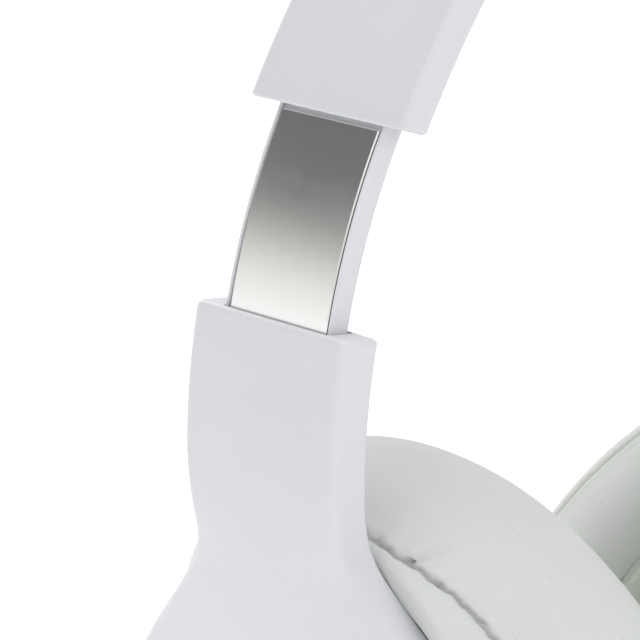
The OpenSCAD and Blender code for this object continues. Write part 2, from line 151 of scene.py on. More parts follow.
# ------------------------------------------------------------------ mesh helpers
def make_object(name, verts, faces, body, uv=None, mats=(), face_mat=None, sharp=38):
    me = bpy.data.meshes.new(name)
    me.from_pydata([tuple(np.asarray(v) * MM) for v in verts], [], [tuple(int(i) for i in f) for f in faces])
    if uv is not None:
        layer = me.uv_layers.new(name="UVMap")
        loops = np.zeros(len(me.loops), np.int32)
        me.loops.foreach_get("vertex_index", loops)
        uv = np.asarray(uv, float)
        flat = uv[loops]
        # keep a face that crosses the closing line in one piece
        start = np.zeros(len(me.polygons), np.int32)
        total = np.zeros(len(me.polygons), np.int32)
        me.polygons.foreach_get("loop_start", start)
        me.polygons.foreach_get("loop_total", total)
        quad = start[total == 4]
        sel = quad[:, None] + np.arange(4)[None, :]
        for k in (0, 1):
            per = uv_period(uv, k)
            vals = flat[sel, k]
            wide = (vals.max(1) - vals.min(1)) > per * 0.5
            flat[sel, k] = np.where(wide[:, None] & (vals < per * 0.5), vals + per, vals)
        layer.data.foreach_set("uv", flat.astype(np.float32).ravel())
    me.validate()
    me.shade_smooth()
    if sharp:
        me.set_sharp_from_angle(angle=rad(sharp))
    for m in mats:
        me.materials.append(m)
    if face_mat is not None:
        me.polygons.foreach_set("material_index", np.asarray(face_mat, np.int32))
    o = bpy.data.objects.new(name, me)
    bpy.context.scene.collection.objects.link(o)
    if body:
        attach(o, body)
    return o


def uv_period(uv, k):
    return float(uv[:, k].max()) if len(uv) else 0.0


def grid(rings, close_u=True, close_v=False, caps=(True, True)):
    """rings: m rings of n points. close_u joins each ring to itself, close_v the last ring to the first. Returns verts, faces, uv."""
    R = np.asarray(rings, float)
    m, n = R.shape[:2]
    V = R.reshape(-1, 3)
    mm = m if close_v else m - 1
    nn = n if close_u else n - 1
    j, i = np.meshgrid(np.arange(mm), np.arange(nn), indexing="ij")
    i1, j1 = (i + 1) % n, (j + 1) % m
    F = np.stack([j * n + i, j * n + i1, j1 * n + i1, j1 * n + i], -1).reshape(-1, 4).tolist()
    du = np.linalg.norm(np.diff(R, axis=0), axis=2).mean(1)
    dv = np.linalg.norm(np.diff(R, axis=1), axis=2).mean(0)
    u = np.concatenate([[0], np.cumsum(du)])
    v = np.concatenate([[0], np.cumsum(dv)])
    uv = np.stack(np.meshgrid(u, v, indexing="ij"), -1).reshape(-1, 2)
    if close_u and not close_v:
        if caps[0]:
            F.append(tuple(range(n - 1, -1, -1)))
        if caps[1]:
            F.append(tuple((m - 1) * n + i for i in range(n)))
    return V, F, uv


def fix_normals(o):
    import bmesh
    bm = bmesh.new()
    bm.from_mesh(o.data)
    bmesh.ops.recalc_face_normals(bm, faces=bm.faces)
    if bm.calc_volume(signed=True) < 0:
        bmesh.ops.reverse_faces(bm, faces=bm.faces)
    bm.to_mesh(o.data)
    bm.free()


def mirror_pts(v):
    w = np.array(v, float)
    w[..., 0] *= -1
    return w


def both(name, rings_or_mesh, bodies, mats, replaces, uv_scale=1.0, sharp=38, caps=(True, True), close_v=False, face_mat=None):
    """Makes the left piece and its mirror image."""
    out = []
    for side, body, rep in (("left", bodies[0], replaces[0]), ("right", bodies[1], replaces[1])):
        V, F, uv = grid(rings_or_mesh, caps=caps, close_v=close_v)
        if side == "right":
            V = mirror_pts(V)
        o = make_object(f"{side}_{name}", V, F, body, uv * uv_scale, mats, face_mat, sharp)
        fix_normals(o)
        if sharp:
            o.data.set_sharp_from_angle(angle=rad(sharp))
        if rep:
            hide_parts(*rep)
        out.append(o)
    return out


# ------------------------------------------------------------------ materials
def new_mat(name):
    m = bpy.data.materials.new(name)
    m.use_nodes = True
    nt = m.node_tree
    nt.nodes.clear()
    out = nt.nodes.new("ShaderNodeOutputMaterial")
    bs = nt.nodes.new("ShaderNodeBsdfPrincipled")
    nt.links.new(bs.outputs[0], out.inputs[0])
    return m, nt, bs


def node(nt, kind, **kw):
    n = nt.nodes.new(kind)
    for k, v in kw.items():
        if k in n.inputs and not hasattr(n, k):
            n.inputs[k].default_value = v
        elif hasattr(n, k):
            setattr(n, k, v)
        else:
            n.inputs[k].default_value = v
    return n


def coords(nt, kind="Object", scale=(1, 1, 1)):
    tc = nt.nodes.new("ShaderNodeTexCoord")
    mp = nt.nodes.new("ShaderNodeMapping")
    mp.inputs["Scale"].default_value = scale
    nt.links.new(tc.outputs[kind], mp.inputs[0])
    return mp.outputs[0]


def noise(nt, vec, scale, detail=3, rough=0.55, distortion=0.0):
    n = nt.nodes.new("ShaderNodeTexNoise")
    n.inputs["Scale"].default_value = scale
    n.inputs["Detail"].default_value = detail
    n.inputs["Roughness"].default_value = rough
    n.inputs["Distortion"].default_value = distortion
    nt.links.new(vec, n.inputs["Vector"])
    return n.outputs["Fac"]


def remap(nt, val, a, b, c, d):
    n = nt.nodes.new("ShaderNodeMapRange")
    nt.links.new(val, n.inputs[0])
    for k, v in zip((1, 2, 3, 4), (a, b, c, d)):
        n.inputs[k].default_value = v
    return n.outputs[0]


def mix_col(nt, fac, c1, c2):
    n = nt.nodes.new("ShaderNodeMix")
    n.data_type = "RGBA"
    nt.links.new(fac, n.inputs[0])
    n.inputs[6].default_value = (*c1, 1)
    n.inputs[7].default_value = (*c2, 1)
    return n.outputs[2]


def math_n(nt, op, a, b):
    n = nt.nodes.new("ShaderNodeMath")
    n.operation = op
    for i, x in enumerate((a, b)):
        if isinstance(x, (int, float)):
            n.inputs[i].default_value = x
        else:
            nt.links.new(x, n.inputs[i])
    return n.outputs[0]


def bump(nt, bs, height, strength, dist, chain=None):
    b = nt.nodes.new("ShaderNodeBump")
    b.inputs["Strength"].default_value = strength
    b.inputs["Distance"].default_value = dist
    nt.links.new(height, b.inputs["Height"])
    if chain is not None:
        nt.links.new(chain, b.inputs["Normal"])
    nt.links.new(b.outputs[0], bs.inputs["Normal"])
    return b.outputs[0]


def plastic(name, c1, c2, r0, r1, grain=0.012, spec=0.5, coat=0.0):
    m, nt, bs = new_mat(name)
    v = coords(nt)
    big = noise(nt, v, 40, 2)
    nt.links.new(mix_col(nt, remap(nt, big, 0.35, 0.65, 0, 1), c1, c2), bs.inputs["Base Color"])
    mid = noise(nt, v, 350, 3)
    nt.links.new(remap(nt, mid, 0.3, 0.7, r0, r1), bs.inputs["Roughness"])
    fine = noise(nt, v, 5200, 2)
    bump(nt, bs, fine, 0.12, grain * MM)
    bs.inputs["Specular IOR Level"].default_value = spec
    bs.inputs["Coat Weight"].default_value = coat
    bs.inputs["Coat Roughness"].default_value = 0.3
    return m


def metal(name, col, rough, scale, bump_s=0.1, aniso=0.0, uv=True, c2=None):
    m, nt, bs = new_mat(name)
    v = coords(nt, "UV" if uv else "Object", scale)
    streak = noise(nt, v, 1.0, 4, 0.6)
    c2 = c2 or tuple(x * 0.93 for x in col)
    nt.links.new(mix_col(nt, remap(nt, streak, 0.3, 0.7, 0, 1), col, c2), bs.inputs["Base Color"])
    nt.links.new(remap(nt, streak, 0.3, 0.7, rough * 0.92, rough * 1.08), bs.inputs["Roughness"])
    bump(nt, bs, streak, bump_s, 0.01 * MM)
    bs.inputs["Metallic"].default_value = 1.0
    bs.inputs["Anisotropic"].default_value = aniso
    return m


WHITE = plastic("white_plastic", (0.615, 0.622, 0.643), (0.596, 0.603, 0.624), 0.34, 0.44)
DARK = plastic("dark_plastic", (0.030, 0.030, 0.033), (0.022, 0.022, 0.025), 0.42, 0.58, 0.05)
PLATE = metal("brushed_plate", (0.89, 0.89, 0.87), 0.22, (0.03, 7.0, 1), 0.02, 0.3, True, (0.86, 0.86, 0.84))
SPRING = metal("spring_steel", (0.42, 0.43, 0.46), 0.30, (300, 2500, 2500), 0.05, 0.2, False)
SCREW = metal("screw_steel", (0.58, 0.58, 0.60), 0.32, (2500, 2500, 2500), 0.1, 0.0, False)
MAGNET = metal("magnet_case", (0.50, 0.50, 0.52), 0.38, (1500, 1500, 1500), 0.08, 0.0, False)
FILM = plastic("diaphragm_film", (0.66, 0.63, 0.52), (0.60, 0.57, 0.47), 0.22, 0.34, 0.02)
BOARD = plastic("circuit_board", (0.02, 0.16, 0.06), (0.03, 0.22, 0.08), 0.3, 0.45, 0.02)


def leather(name, c1, c2, dark):
    """Leatherette: pale colour with soft variation, a pebbled grain, fine wrinkles that run along the piece, and
    painted shade in the wrinkles and seams.
    """
    m, nt, bs = new_mat(name)
    v = coords(nt)
    uv = coords(nt, "UV", (0.42, 2.0, 1))
    big = noise(nt, v, 28, 3)
    base = mix_col(nt, remap(nt, big, 0.35, 0.65, 0, 1), c1, c2)
    # painted shade: darker in the finest wrinkles and along the seams, where shade falls
    wr = noise(nt, uv, 1.0, 4, 0.6, 0.8)
    crease_shade_mix = nt.nodes.new("ShaderNodeMix")
    crease_shade_mix.data_type = "RGBA"
    at_ = nt.nodes.new("ShaderNodeAttribute")
    at_.attribute_name = "crease_shade"
    nt.links.new(math_n(nt, "MAXIMUM", remap(nt, wr, 0.28, 0.40, 0.10, 0.0), at_.outputs["Fac"]), crease_shade_mix.inputs[0])
    nt.links.new(base, crease_shade_mix.inputs[6])
    crease_shade_mix.inputs[7].default_value = (*dark, 1)
    nt.links.new(crease_shade_mix.outputs[2], bs.inputs["Base Color"])
    vo = nt.nodes.new("ShaderNodeTexVoronoi")
    vo.feature = "DISTANCE_TO_EDGE"
    vo.inputs["Scale"].default_value = 1900
    nt.links.new(v, vo.inputs["Vector"])
    peb = remap(nt, vo.outputs["Distance"], 0.0, 0.12, 0.0, 1.0)
    nt.links.new(remap(nt, noise(nt, v, 260, 3), 0.3, 0.7, 0.40, 0.54), bs.inputs["Roughness"])
    where = remap(nt, noise(nt, v, 30, 2), 0.40, 0.60, 0.15, 1.0)
    n1 = bump(nt, bs, math_n(nt, "MULTIPLY", wr, where), 0.70, 0.26 * MM)
    bump(nt, bs, peb, 0.16, 0.03 * MM, n1)
    bs.inputs["Specular IOR Level"].default_value = 0.42
    bs.inputs["Sheen Weight"].default_value = 0.06
    bs.inputs["Sheen Roughness"].default_value = 0.5
    return m


def fabric(name, c1, c2, pitch):
    m, nt, bs = new_mat(name)
    v = coords(nt)
    w1 = nt.nodes.new("ShaderNodeTexWave"); w1.bands_direction = "Y"
    w2 = nt.nodes.new("ShaderNodeTexWave"); w2.bands_direction = "Z"
    for w in (w1, w2):
        w.inputs["Scale"].default_value = 1.0 / (pitch * MM * 6.283) * 1.0
        w.inputs["Distortion"].default_value = 1.2
        w.inputs["Detail"].default_value = 1.0
        nt.links.new(v, w.inputs["Vector"])
    h = math_n(nt, "MULTIPLY", w1.outputs["Fac"], w2.outputs["Fac"])
    nt.links.new(mix_col(nt, h, c1, c2), bs.inputs["Base Color"])
    nt.links.new(remap(nt, noise(nt, v, 900, 2), 0.3, 0.7, 0.75, 0.92), bs.inputs["Roughness"])
    bump(nt, bs, h, 0.5, 0.12 * MM)
    bs.inputs["Sheen Weight"].default_value = 0.25
    return m


# the third colour is the painted shade in the wrinkles and seams
LEATHER = leather("leatherette", (0.575, 0.590, 0.566), (0.548, 0.564, 0.541), (0.20, 0.205, 0.19))
LINING = fabric("cushion_lining", (0.68, 0.71, 0.63), (0.76, 0.79, 0.72), 0.3)
SCREEN = fabric("screen_cloth", (0.24, 0.26, 0.22), (0.44, 0.46, 0.40), 0.5)
THREAD = fabric("seam_thread", (0.42, 0.44, 0.41), (0.55, 0.57, 0.53), 0.2)

# ------------------------------------------------------------------ arm and outer shell
def shell_ring(l, w=None):
    """One closed ring round the arm or shell at l, starting on the outer face and going round by the inside."""
    W = half_w(l)
    dl = 0.05
    slope = (half_w(l + dl) - half_w(l - dl)) / (2 * dl)
    k = math.sqrt(1 + slope * slope)
    hollow = float(ss((-19.0 - l) / 0.9)) if l > -60 else float(ss((l + 101.0) / 1.2))
    h, f, t = crown_h(l), face_d(l), rim_d(l)
    ro = 1.0 + 0.75 * float(ss((-2 - l) / 25))          # rounding between outer face and side wall
    ri = 0.45                                            # rounding of the rim's edges
    wall = WALL

    def depth(y):
        s = (W - abs(y)) / k
        e = ro - math.sqrt(max(0.0, ro * ro - (ro - s) ** 2)) if s < ro else 0.0
        return f + h * (y / max(W, 6)) ** 2 + e
    pts = []
    ys = list(np.linspace(0, 1, 15)[:-1] * max(0.0, W - ro * k)) if W > ro * k else [0.0] * 14
    arc = [max(0.0, W - ro * k * (1 - math.sin(rad(p)))) for p in np.linspace(0, 90, 9)]
    half = [(y, depth(y)) for y in ys + arc]
    d_edge = half[-1][1]
    # side wall down to the rim
    for q in np.linspace(0, 1, 5)[1:]:
        half.append((W, d_edge + (t - ri - d_edge) * q))
    for p in np.linspace(0, 90, 6)[1:]:
        half.append((W - min(ri, W * 0.5) * (1 - math.cos(rad(p))), t - ri + ri * math.sin(rad(p))))
    iw = max(0.3, W - wall * min(k, 2.2))
    ir = min(0.4, iw * 0.4)
    half.append((max(iw + ir, 0.25), t))
    fl = min(t - 0.5, max(depth(min(iw, W * 0.94)) if W > 3 else f, f) + wall)
    for p in np.linspace(0, 90, 5):
        half.append((iw + ir * (1 - math.sin(rad(p))), t - ir * (1 - math.cos(rad(p))) * hollow))
    # cavity wall and floor
    floor_edge = f + h * (iw / max(W, 6)) ** 2 + wall
    floor_edge = min(floor_edge, t - 0.5)
    for q in np.linspace(0, 1, 4)[1:]:
        half.append((iw, t - ir * hollow + (floor_edge - (t - ir)) * q * hollow))
    for q in np.linspace(0, 1, 8)[1:]:
        y = iw * (1 - q)
        dd = min(t - 0.5, f + h * (y / max(W, 6)) ** 2 + wall)
        half.append((y, t + (dd - t) * hollow))
    off = -1.6 * float(ss((-6 - l) / 16)) * float(1 - ss((-30 - l) / 30))      # the shoulder leans a little to the rear
    loop = [(y + off, d) for y, d in half] + [(-y + off, d) for y, d in half[-2:0:-1]]
    return loop


def arm_shell(with_jack):
    ls = list(-102 + 41 * (1 - np.cos(np.linspace(0.03, math.pi / 2, 46))))     # rounder, finer at the lower end
    ls = [l for l in ls if l < -61.5]
    top_slant = lambda l, d: l + 0.4 * (d - 1.5) / ARM_T * float(ss((l - ARM_UP + 4) / 4))
    ls += list(np.arange(-61, -21, 1.0)) + list(np.arange(-21, -17.5, 0.18)) + list(np.arange(-17.4, ARM_UP - 0.61, 0.7))
    rings = [[at(top_slant(l, d), y, d) for y, d in shell_ring(l)] for l in ls]
    # the arm's top: rounded over, flat, then down into the slider's channel
    r = 0.6
    base = shell_ring(ARM_UP - r)
    tc = ARM_T / 2

    def shrink(loop, q):
        W = ARM_W / 2
        return [(y * (W - q) / W, tc + (d - tc) * (tc - q) / tc) for y, d in loop]
    for p in np.linspace(0, 90, 7):
        rings.append([at(top_slant(ARM_UP - r + r * si(p), d), y, d) for y, d in shrink(base, r * (1 - co(p)))])
    m0, m1, my = 0.9, 4.8, 8.1                                                  # channel
    mc, mh = (m0 + m1) / 2, (m1 - m0) / 2

    def mouth(grow):
        return [(y / (ARM_W / 2) * (my + grow), mc + (d - tc) / tc * (mh + grow)) for y, d in base]
    rf = 0.22
    top = shrink(base, r)
    inner = mouth(rf)
    for q in (0.33, 0.66):
        rings.append([at(top_slant(ARM_UP, a[1] * (1 - q) + b[1] * q), a[0] * (1 - q) + b[0] * q, a[1] * (1 - q) + b[1] * q) for a, b in zip(top, inner)])
    for p in np.linspace(0, 90, 5):
        rings.append([on_slide(top_slant(ARM_UP, d) - rf + rf * co(p), y, d) for y, d in mouth(rf * (1 - si(p)))])
    for l in (ARM_UP - 1.5, ARM_UP - 5, ARM_UP - 9, 5, 1, -3, -7, -11, -14.6, -17.8):
        rings.append([on_slide(l, y, d) for y, d in mouth(0)])
    return rings


BODY2 = ("left_arm", "right_arm")
shell_rings = arm_shell(False)
shells = both("arm_shell_body", shell_rings, BODY2, [WHITE], (["left_arm_shell"], ["right_arm_shell"]), sharp=50)

# ------------------------------------------------------------------ slider and its metal plate
S_LO = ARM_UP - KEEP


def slider_profile(seat):
    w, t0 = SL_W / 2, SL_SET
    lip, sink = 0.42, 0.42
    half = []
    if seat:
        half += [(0, t0 + 0.1 + 0.52), (w * 0.5, t0 + 0.62), (w - lip - 0.34, t0 + 0.62), (w - lip - 0.02, t0 + 0.62)]
        half += [(w - lip, t0 + 0.60), (w - lip, t0 + 0.2), (w - lip + 0.06, t0 + 0.11), (w - lip + 0.14, t0 + 0.1)]
    else:
        half += [(0, t0 + 0.1), (w * 0.5, t0 + 0.1), (w - lip - 0.3, t0 + 0.1), (w - lip - 0.1, t0 + 0.1)]
        half += [(w - lip, t0 + 0.1), (w - lip + 0.03, t0 + 0.1), (w - lip + 0.08, t0 + 0.1), (w - lip + 0.14, t0 + 0.1)]
    ro = 0.22
    for p in np.linspace(0, 90, 5):
        half.append((w - ro + ro * si(p), t0 + 0.1 + ro - ro * co(p)))
    rb = 0.95
    for q in (0.35, 0.7):
        half.append((w, t0 + 0.32 + (SL_T - rb - 0.32) * q))
    for p in np.linspace(0, 90, 8):
        half.append((w - rb + rb * co(p), t0 + SL_T - rb + rb * si(p)))
    half.append((w * 0.5, t0 + SL_T))
    half.append((0, t0 + SL_T))
    return half + [(-y, d) for y, d in half[-2:0:-1]]


def slider_rings():
    rings = []
    r = 0.4
    top = L_END + 0.75
    for l in [S_LO] + list(np.arange(S_LO + 0.1, top - r, 0.8)):
        rings.append([on_slide(l, y, d) for y, d in slider_profile(True)])
    base = slider_profile(True)
    mid = SL_SET + SL_T / 2 + 0.05
    for p in np.linspace(0, 90, 6):
        q = r * (1 - co(p))
        rings.append([on_slide(top - r + r * si(p), y * (SL_W / 2 - q) / (SL_W / 2), mid + (d - mid) * (SL_T / 2 - q * 0.7) / (SL_T / 2)) for y, d in base])
    return rings


s_rings = slider_rings()
groove_shade = np.zeros((len(s_rings) - 1, len(s_rings[0])), int)
groove_shade[:, [3, -5, -4]] = 1                                            # painted shade: dark plastic on these faces beside the plate, for the shadow line in the gap
both("slider_bar", s_rings, ("headband", "headband"), [WHITE, DARK], (["left_slider"], ["right_slider"]), sharp=40, face_mat=list(groove_shade.ravel()) + [0, 0])


def plate_rings():
    w = SL_W / 2 - 0.42 - 0.13
    c = 0.26                                                        # bevel
    lo, hi = ARM_UP - 1.2, L_END - 0.62
    d0 = SL_SET + 0.60
    d1 = SL_SET + 0.13

    def ring(l, q):                                                  # q: how far the top is drawn in
        return [on_slide(l, y, d) for y, d in [(-w + 0.07, d0), (-w + 0.07, d1 + c * 0.42), (-w + c * 0.6, d1 + c * 0.2), (-w + c, d1 + q * 0.8)] +
                [(y, d1 + q * 0.8) for y in np.linspace(-w + c, w - c, 13)[1:-1]] + [(w - c, d1 + q * 0.8), (w - c * 0.5, d1 + c * 0.33 + q * 0.3), (w, d1 + c * 0.8), (w, d0)]]
    rings = [ring(lo, c)] + [ring(l, 0) for l in np.arange(lo + c, hi - c, 0.6)] + [ring(hi - c, 0), ring(hi - c * 0.5, c * 0.45), ring(hi, c)]
    return rings


p_rings = plate_rings()
side = np.zeros((len(p_rings) - 1, len(p_rings[0])), int)
side[:, 0] = 1                                                      # painted shade: dark plastic on the plate's rear edge faces, for the shadow in the groove
both("plate_inlay", p_rings, ("headband", "headband"), [PLATE, DARK], (["left_slider_plate"], ["right_slider_plate"]), sharp=14, face_mat=list(side.ravel()) + [0, 0])

# ------------------------------------------------------------------ headband
def band_loop(open_):
    w, t, ro = BAND_W / 2, BAND_T, 0.85
    half = [(q * (w - ro), 0.10 * q * q * 0) for q in np.linspace(0, 1, 8)]
    for p in np.linspace(0, 90, 9)[1:]:
        half.append((w - ro + ro * si(p), ro - ro * co(p)))
    half += [(w, 2.0), (w, 2.9)]
    for p in np.linspace(0, 90, 5):
        half.append((w - 0.45 + 0.45 * co(p), t - 0.45 + 0.45 * si(p)))
    i = w - 1.6
    for p in np.linspace(0, 90, 4):
        half.append((i + 0.2 - 0.2 * si(p), t - 0.2 * (1 - co(p)) * open_))
    f = 1.4 * open_ + (t - 0.02) * (1 - open_)
    half += [(i - 0.02, t - 0.2 * open_ + (f - t + 0.2 * open_) * 0.5), (i - 0.06, f), (i * 0.5, f), (0, f)]
    return half + [(-y, d) for y, d in half[-2:0:-1]]


def slant(e, y, d):
    near = float(1 - ss((e - E_END) / 2.6))
    return on_band(e + near * math.degrees((0.8 * d / BAND_T - 0.45) / R1), y, d)


def band_rings():
    r = 0.45
    left = []
    deg1 = math.degrees(1 / R1)
    solid = band_loop(0.0)
    for p in np.linspace(90, 0, 6):
        q = r * (1 - co(p))
        w, tc = BAND_W / 2, BAND_T / 2
        left.append([slant(E_END + deg1 * r * (1 - si(p)), y * (w - q) / w, tc + (d - tc) * (tc - q) / tc) for y, d in solid])
    for e, o in ((E_END + 0.72, 0.0), (E_END + 0.78, 1.0)):
        left.append([slant(e, y, d) for y, d in band_loop(o)])
    for e in list(np.linspace(E_END + 1.2, E1, 9)) + list(np.linspace(E1, 90, 46))[1:]:
        left.append([slant(e, y, d) for y, d in band_loop(1.0)])
    left = np.array(left)
    right = mirror_pts(left[:-1][::-1])
    return np.concatenate([left, right])


V, F, uv = grid(band_rings())
band = make_object("headband_shell", V, F, "headband", uv, [WHITE])
fix_normals(band)
band.data.set_sharp_from_angle(angle=rad(50))
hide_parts("headband_outer")

# ------------------------------------------------------------------ soft pieces
def inflate(rings, pinned, pressure, shrink, cap, close_u=True, close_v=True, frames=20, scale=20.0, stiff=15.0):
    """Cloth simulation of a padded form: the grid's free points swell between the pinned ones. Returns the rings after it, in millimetres."""
    R = np.asarray(rings, float)
    V, F, _ = grid(R, close_u=close_u, close_v=close_v)
    me = bpy.data.meshes.new("sim")
    me.from_pydata([tuple(v * MM * scale) for v in V], [], F)
    o = bpy.data.objects.new("sim", me)
    bpy.context.scene.collection.objects.link(o)
    fix_normals(o)
    g = o.vertex_groups.new(name="pin")
    pin = np.asarray(pinned, float).reshape(-1)
    for w in np.unique(np.round(pin, 3)):
        if w > 0:
            g.add([int(i) for i in np.nonzero(np.round(pin, 3) == w)[0]], float(w), "REPLACE")
    c = o.modifiers.new("cloth", "CLOTH")
    s = c.settings
    s.quality = 6
    s.mass = 0.3
    s.tension_stiffness = s.compression_stiffness = stiff
    s.shear_stiffness = stiff * 0.5
    s.bending_stiffness = 0.35
    s.tension_damping = s.compression_damping = 8
    s.air_damping = 3
    s.use_pressure = True
    s.uniform_pressure_force = pressure
    s.shrink_min = shrink
    s.vertex_group_mass = "pin"
    s.pin_stiffness = 1.0
    s.effector_weights.gravity = 0
    c.collision_settings.use_collision = False
    sc = bpy.context.scene
    c.point_cache.frame_start, c.point_cache.frame_end = 1, frames
    for fr in range(1, frames + 1):
        sc.frame_set(fr)
    dg = bpy.context.evaluated_depsgraph_get()
    ev = o.evaluated_get(dg).to_mesh()
    out = np.zeros(len(V) * 3)
    ev.vertices.foreach_get("co", out)
    out = out.reshape(-1, 3) / (MM * scale)
    sc.frame_set(1)
    bpy.data.objects.remove(o)
    d = out - V
    d[~np.isfinite(d).all(1)] = 0
    n = np.linalg.norm(d, axis=1, keepdims=True)
    d = d * (cap * np.tanh(n / cap) / np.maximum(n, 1e-9))
    return (V + d).reshape(R.shape)


def catmull(pts, n, closed=True):
    """n points along a smooth line through pts, evenly spaced."""
    P = np.asarray(pts, float)
    m = len(P)
    out = []
    for i in range(m if closed else m - 1):
        p = [P[(i + k) % m] if closed else P[min(max(i + k, 0), m - 1)] for k in (-1, 0, 1, 2)]
        for t in np.linspace(0, 1, 24, endpoint=False):
            out.append(0.5 * ((2 * p[1]) + (-p[0] + p[2]) * t + (2 * p[0] - 5 * p[1] + 4 * p[2] - p[3]) * t * t + (-p[0] + 3 * p[1] - 3 * p[2] + p[3]) * t ** 3))
    if not closed:
        out.append(P[-1])
    out = np.array(out)
    loop = np.vstack([out, out[:1]]) if closed else out
    s = np.concatenate([[0], np.cumsum(np.linalg.norm(np.diff(loop, axis=0), axis=1))])
    q = np.linspace(0, s[-1], n, endpoint=not closed)
    return np.stack([np.interp(q, s, loop[:, k]) for k in range(loop.shape[1])], 1)


def wave1(x, period, seed, octaves=4, base=3, gain=0.6):
    """Smooth periodic noise along a closed line, about -1 to 1."""
    g = np.random.default_rng(seed)
    y = np.zeros_like(x, float)
    amp, tot = 1.0, 0.0
    for k in range(octaves):
        for j in range(3):
            f = base * 2 ** k + g.integers(-1, 2) * (k + 1)
            y += amp * np.sin(2 * math.pi * (f * x / period) + g.uniform(0, 2 * math.pi)) / 3
        tot += amp
        amp *= gain
    return y / tot * 1.6


PAD_A, PAD_B = 43.0, 50.2
# the ear cushion's section: (inset from the outline, height above the back plane), from the hidden back edge, round the outside, over the face and down the inner wall
SECTION = [(9.0, 1.9), (5.0, 1.2), (2.4, 1.0), (1.0, 1.5), (0.55, 2.4), (0.75, 3.2), (0.40, 4.2), (0.05, 6.2), (-0.25, 9.0), (-0.3, 12.0), (-0.1, 15.5), (0.5, 18.8),
           (1.5, 21.5), (2.9, 23.8), (4.4, 25.1), (6.6, 26.0), (9.4, 26.25), (12.2, 25.6), (14.6, 24.1), (16.4, 21.7), (17.3, 18.4), (17.7, 15.0), (17.5, 11.0), (16.9, 7.5), (15.8, 4.6), (14.0, 2.5), (11.8, 1.95)]


FRONT_A, FRONT_N, HOLE_A = 34.8, 1.68, 25.3


def cushion_y(t, i, z):
    """Half width of the cushion's outline at angle t, i in from it and z high; the front side is drawn in towards its back."""
    y = (PAD_A - i) * math.sin(t)
    if y > 0:
        narrow = FRONT_A * max(0.0, 1 - abs(math.cos(t)) ** FRONT_N) ** (1 / FRONT_N)
        q = min(1.0, max(i, 0.0) / (PAD_A - HOLE_A))
        y -= (1 - float(ss((z - 2.0) / 14))) * max(0.0, PAD_A * math.sin(t) - narrow) * (1 - q)
    return y


def back_drop(t, i, z):
    """The back strip swells a little towards the shell on the upper rear side, and stands clear of it below, where the cup rocks out."""
    low = 1.0 * float(ss(math.cos(t) / 0.35)) * float(ss((3.4 - z) / 1.6))
    return low - 3.0 * float(ss((-math.cos(t) - 0.15) / 0.35)) * float(ss((-math.sin(t) - 0.28) / 0.35)) * float(ss((2.9 - z) / 1.6)) * float(ss((6.0 - i) / 3.5))


def cushion_rings(nt, ns):
    sec = catmull(SECTION, ns)
    T = np.linspace(0, 2 * math.pi, nt, endpoint=False)
    return np.array([[(PAD_B - i) * math.cos(t), cushion_y(t, i, z), z + back_drop(t, i, z)] for t in T for i, z in sec]).reshape(nt, ns, 3), sec, T


def upsample(R, ft, fs):
    """Makes a closed grid finer with a smooth periodic spline."""
    for axis, f in ((0, ft), (1, fs)):
        n = R.shape[axis]
        spec = np.fft.fft(R, axis=axis)
        m = n * f
        new = np.zeros([m if k == axis else s for k, s in enumerate(R.shape)], complex)
        h = n // 2
        idx = [slice(None)] * 3
        a, b = list(idx), list(idx)
        a[axis] = slice(0, h); b[axis] = slice(0, h)
        new[tuple(b)] = spec[tuple(a)]
        a[axis] = slice(n - h + (0 if n % 2 else 1), n)
        b[axis] = slice(m - (h - (0 if n % 2 else 1)), m)
        new[tuple(b)] = spec[tuple(a)]
        R = np.real(np.fft.ifft(new, axis=axis)) * f
    return R


def linear_up(R, ft, fs):
    """Makes a closed grid finer by cubic interpolation along each direction."""
    for axis, f in ((0, ft), (1, fs)):
        if f == 1:
            continue
        P = [np.roll(R, -k, axis) for k in (-1, 0, 1, 2)]
        parts = []
        for q in range(f):
            t = q / f
            parts.append(0.5 * (2 * P[1] + (-P[0] + P[2]) * t + (2 * P[0] - 5 * P[1] + 4 * P[2] - P[3]) * t * t + (-P[0] + 3 * P[1] - 3 * P[2] + P[3]) * t ** 3))
        R = np.stack(parts, axis + 1)
        sh = list(R.shape)
        sh[axis:axis + 2] = [sh[axis] * sh[axis + 1]]
        R = R.reshape(sh)
    return R


NT, NS = 180, 62
base, sec, T = cushion_rings(NT, NS)


def row_near(target):
    return int(np.argmin(np.linalg.norm(sec - np.array(target), axis=1)))


SEAM_B, SEAM_F, SEAM_I = row_near((0.75, 3.2)), row_near((4.6, 25.2)), row_near((16.9, 20.2))
pin = np.zeros((NT, NS))
for s in range(NS):
    i, z = sec[s]
    if z < 2.6 and i > 0.9:
        pin[:, s] = 1.0
    if s in (SEAM_B, SEAM_B + 1):
        pin[:, s] = 1.0
    if s == SEAM_F:
        pin[:, s] = 0.55
    if s == SEAM_I:
        pin[:, s] = 0.8
    if i > 15 and z < 17:
        pin[:, s] = 0.9
soft = inflate(base, pin, 3.2, 0.002, 0.6)
FT, FS = 4, 5
fine = linear_up(soft, FT, FS)
ref = linear_up(base, FT, FS)


def grid_normals(R):
    a = np.roll(R, -1, 0) - np.roll(R, 1, 0)
    b = np.roll(R, -1, 1) - np.roll(R, 1, 1)
    n = np.cross(a, b)
    return n / np.maximum(np.linalg.norm(n, axis=2, keepdims=True), 1e-9)


CREASE_SHADE = {}


